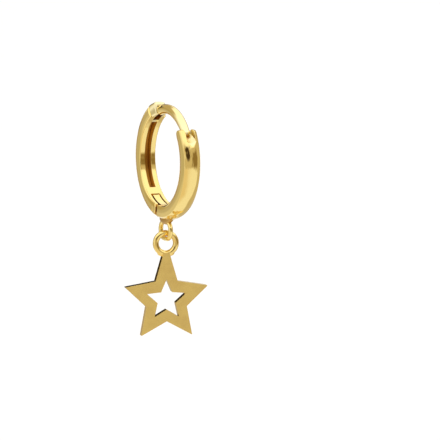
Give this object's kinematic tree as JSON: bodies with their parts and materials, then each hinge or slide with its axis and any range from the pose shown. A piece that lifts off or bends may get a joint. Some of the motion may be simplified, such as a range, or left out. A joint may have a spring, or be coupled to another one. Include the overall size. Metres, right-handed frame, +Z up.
{
  "type": "hoop charm earring",
  "caption": "Hinged hoop earring: a domed band in two halves, an ear wire that latches into a notch, and an open star charm hanging from an eyelet.",
  "frame": {"origin": "highest point of the ear wire's centre line, where the ear carries the earring", "axes": "+Z up as the earring hangs; the hoop lies in the YZ plane with its front towards -Y; X is the hoop's own axis, across the band"},
  "size_m": [0.0084, 0.012, 0.0233],
  "materials": {
    "polished_gold": "mirror polished, gold plated",
    "star_gold": "fine satin face with polished edges, gold plated"
  },
  "bodies": {
    "back": {"post_half": "polished_gold", "hinge_pin": "polished_gold"},
    "front": {"front_half": "polished_gold"},
    "charm": {"star_charm": "star_gold"}
  },
  "joints": [
    {"name": "clasp", "type": "hinge", "parent": "back", "child": "front", "pos_m": [0, 0.00181, -0.00998], "axis": [1, 0, 0], "range_deg": [0, 80]},
    {"name": "star_swing", "type": "hinge", "parent": "front", "child": "charm", "pos_m": [0, 0.00042, -0.01292], "axis": [0, 1, 0], "range_deg": [-75, 75]}
  ]
}
